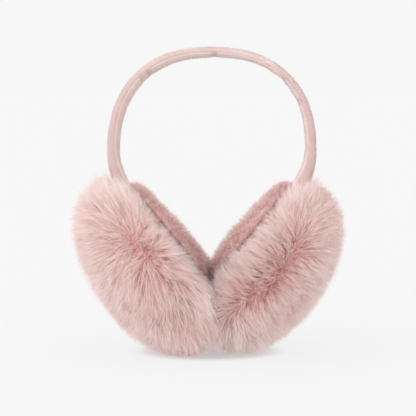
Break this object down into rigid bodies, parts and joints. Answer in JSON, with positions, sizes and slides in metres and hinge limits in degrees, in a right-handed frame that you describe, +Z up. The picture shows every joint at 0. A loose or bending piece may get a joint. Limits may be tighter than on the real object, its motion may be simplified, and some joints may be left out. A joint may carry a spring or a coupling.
{
  "type": "fur earmuffs",
  "caption": "Winter earmuffs: a slim padded plush headband over deep round fur cups, each with a soft hollowed ear ring, standing on the cups.",
  "frame": {"origin": "centre of the bounding box, on the surface that the cups stand on", "axes": "+Z up through the headband's crown, +X from the left cup to the right cup as seen from the front, the front faces -Y"},
  "size_m": [0.1762, 0.1384, 0.1953],
  "materials": {
    "plush": "short velour pile",
    "long_fur": "deep soft faux fur",
    "short_fur": "short soft faux fur"
  },
  "bodies": {
    "root": {"headband": "plush", "left_fur_cup": "long_fur", "right_fur_cup": "long_fur", "left_ear_pad": "short_fur", "right_ear_pad": "short_fur"}
  },
  "joints": []
}
